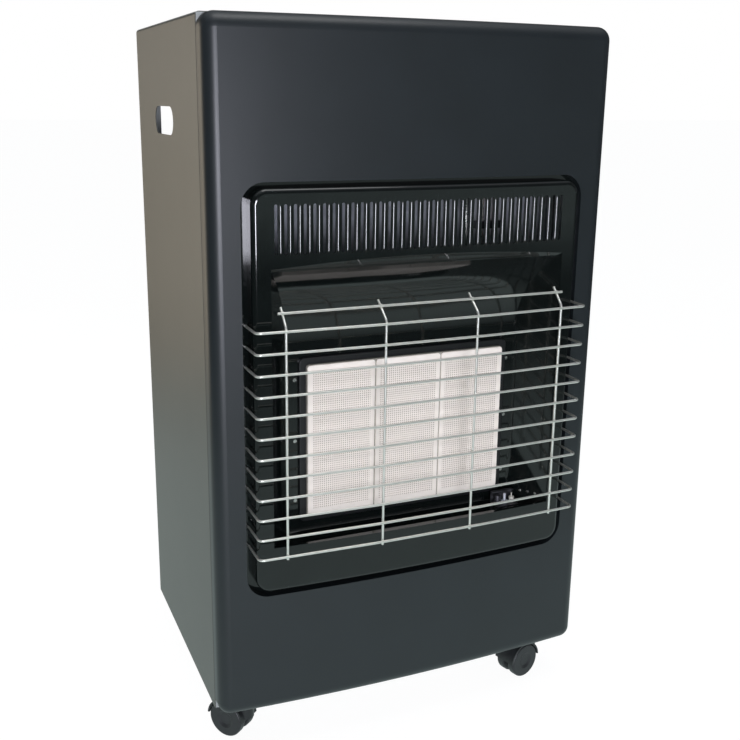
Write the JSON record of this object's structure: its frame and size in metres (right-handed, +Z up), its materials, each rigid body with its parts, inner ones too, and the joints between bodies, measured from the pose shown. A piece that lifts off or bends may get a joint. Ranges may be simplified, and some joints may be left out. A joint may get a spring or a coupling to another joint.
{
  "type": "portable gas cabinet heater",
  "caption": "Portable gas cabinet heater on swivel casters: bowed front with ceramic plaques behind a wire guard, open bottle bay with a lift-off rear cover.",
  "frame": {"origin": "middle of the whole heater in the plan view, on the floor", "axes": "+Z up, the front with the burner faces -Y, +X to the right as seen from the front"},
  "size_m": [0.427, 0.4016, 0.742],
  "materials": {
    "side_paint": "satin powder coat, dark anthracite",
    "front_paint": "satin powder coat, dark anthracite",
    "enamel": "glossy black vitreous enamel",
    "frame_paint": "black heat-resistant paint",
    "ceramic": "porous unglazed cordierite, matte",
    "fibre": "pressed ceramic fibre, matte",
    "chrome_wire": "bright chrome-plated steel wire",
    "aluminised": "aluminised sheet steel",
    "manifold_paint": "zinc-plated steel bar",
    "zinc_steel": "galvanised sheet steel",
    "screw_steel": "zinc-plated steel",
    "brass": "turned brass",
    "cast_alloy": "die-cast alloy, as cast",
    "tube_metal": "drawn aluminium tube",
    "copper_lead": "bare copper capillary",
    "white_ceramic": "glazed insulator",
    "spark_insulation": "orange-red silicone insulation",
    "black_plastic": "moulded, fine texture",
    "tray_plastic": "moulded, fine texture",
    "knob_plastic": "moulded, satin",
    "cover_paint": "satin powder coat, dark anthracite",
    "caster_plastic": "moulded nylon",
    "axle_steel": "zinc-plated steel",
    "wheel_plastic": "moulded nylon"
  },
  "bodies": {
    "cabinet": {"base_pan": "zinc_steel", "base_rim": "zinc_steel", "burner_body": "aluminised", "burner_screws": "screw_steel", "cabinet_wrap": "side_paint", "caster_stems": "zinc_steel", "cheek_rivets": "screw_steel", "combustion_surround": "enamel", "control_plate": "zinc_steel", "control_tray": "tray_plastic", "feed_tube": "tube_metal", "front_panel": "front_paint", "gas_valve": "cast_alloy", "guard_uprights": "chrome_wire", "heat_shield": "zinc_steel", "hose_tail": "brass", "injector_manifold": "manifold_paint", "injectors": "brass", "lead_clips": "black_plastic", "manifold_brackets": "aluminised", "piezo_body": "black_plastic", "pilot_bracket": "zinc_steel", "pilot_burner": "brass", "pilot_tube": "tube_metal", "plaque_frame": "frame_paint", "plaque_gasket": "fibre", "plaque_left": "ceramic", "plaque_middle": "ceramic", "plaque_right": "ceramic", "seam_screws": "screw_steel", "spark_electrode": "white_ceramic", "spark_lead": "spark_insulation", "surround_screws": "screw_steel", "thermocouple": "zinc_steel", "thermocouple_lead": "copper_lead", "venturi_tubes": "zinc_steel", "wire_guard": "chrome_wire"},
    "plunger": {"valve_plunger": "brass"},
    "knob": {"valve_spindle": "brass", "control_knob": "knob_plastic"},
    "igniter_button": {"piezo_button": "black_plastic"},
    "cover": {"rear_cover": "cover_paint"},
    "swivel_fl": {"caster_hood_fl": "caster_plastic", "caster_axle_fl": "axle_steel"},
    "wheel_fl_left": {"caster_wheel_fl_left": "wheel_plastic"},
    "wheel_fl_right": {"caster_wheel_fl_right": "wheel_plastic"},
    "swivel_fr": {"caster_hood_fr": "caster_plastic", "caster_axle_fr": "axle_steel"},
    "wheel_fr_left": {"caster_wheel_fr_left": "wheel_plastic"},
    "wheel_fr_right": {"caster_wheel_fr_right": "wheel_plastic"},
    "swivel_rl": {"caster_hood_rl": "caster_plastic", "caster_axle_rl": "axle_steel"},
    "wheel_rl_left": {"caster_wheel_rl_left": "wheel_plastic"},
    "wheel_rl_right": {"caster_wheel_rl_right": "wheel_plastic"},
    "swivel_rr": {"caster_hood_rr": "caster_plastic", "caster_axle_rr": "axle_steel"},
    "wheel_rr_left": {"caster_wheel_rr_left": "wheel_plastic"},
    "wheel_rr_right": {"caster_wheel_rr_right": "wheel_plastic"}
  },
  "joints": [
    {"name": "knob_press", "type": "slide", "parent": "cabinet", "child": "plunger", "axis": [0, 0, -1], "range_m": [0, 0.004], "stiffness_N_per_m": 800, "springref_m": -0.004},
    {"name": "knob_turn", "type": "hinge", "parent": "plunger", "child": "knob", "pos_m": [0.082, 0.07253, 0.725], "axis": [0, 0, -1], "range_deg": [0, 240]},
    {"name": "igniter_press", "type": "slide", "parent": "cabinet", "child": "igniter_button", "axis": [0, 0, -1], "range_m": [0, 0.006], "stiffness_N_per_m": 500, "springref_m": -0.003},
    {"name": "cover_lift", "type": "slide", "parent": "cabinet", "child": "cover", "axis": [0, 0, 1], "range_m": [0, 0.012]},
    {"name": "swivel_fl", "type": "hinge", "parent": "cabinet", "child": "swivel_fl", "pos_m": [-0.177, -0.12948, 0.045], "axis": [0, 0, 1], "continuous": true},
    {"name": "roll_fl_left", "type": "hinge", "parent": "swivel_fl", "child": "wheel_fl_left", "pos_m": [-0.18808, -0.11529, 0.02], "axis": [0.788, 0.6157, 0], "continuous": true},
    {"name": "roll_fl_right", "type": "hinge", "parent": "swivel_fl", "child": "wheel_fl_right", "pos_m": [-0.18808, -0.11529, 0.02], "axis": [0.788, 0.6157, 0], "continuous": true},
    {"name": "swivel_fr", "type": "hinge", "parent": "cabinet", "child": "swivel_fr", "pos_m": [0.177, -0.12948, 0.045], "axis": [0, 0, 1], "continuous": true},
    {"name": "roll_fr_left", "type": "hinge", "parent": "swivel_fr", "child": "wheel_fr_left", "pos_m": [0.15961, -0.13413, 0.02], "axis": [-0.2588, 0.9659, 0], "continuous": true},
    {"name": "roll_fr_right", "type": "hinge", "parent": "swivel_fr", "child": "wheel_fr_right", "pos_m": [0.15961, -0.13413, 0.02], "axis": [-0.2588, 0.9659, 0], "continuous": true},
    {"name": "swivel_rl", "type": "hinge", "parent": "cabinet", "child": "swivel_rl", "pos_m": [-0.177, 0.09652, 0.045], "axis": [0, 0, 1], "continuous": true},
    {"name": "roll_rl_left", "type": "hinge", "parent": "swivel_rl", "child": "wheel_rl_left", "pos_m": [-0.15961, 0.10118, 0.02], "axis": [0.2588, -0.9659, 0], "continuous": true},
    {"name": "roll_rl_right", "type": "hinge", "parent": "swivel_rl", "child": "wheel_rl_right", "pos_m": [-0.15961, 0.10118, 0.02], "axis": [0.2588, -0.9659, 0], "continuous": true},
    {"name": "swivel_rr", "type": "hinge", "parent": "cabinet", "child": "swivel_rr", "pos_m": [0.177, 0.09652, 0.045], "axis": [0, 0, 1], "continuous": true},
    {"name": "roll_rr_left", "type": "hinge", "parent": "swivel_rr", "child": "wheel_rr_left", "pos_m": [0.168, 0.08094, 0.02], "axis": [-0.866, 0.5, 0], "continuous": true},
    {"name": "roll_rr_right", "type": "hinge", "parent": "swivel_rr", "child": "wheel_rr_right", "pos_m": [0.168, 0.08094, 0.02], "axis": [-0.866, 0.5, 0], "continuous": true}
  ]
}
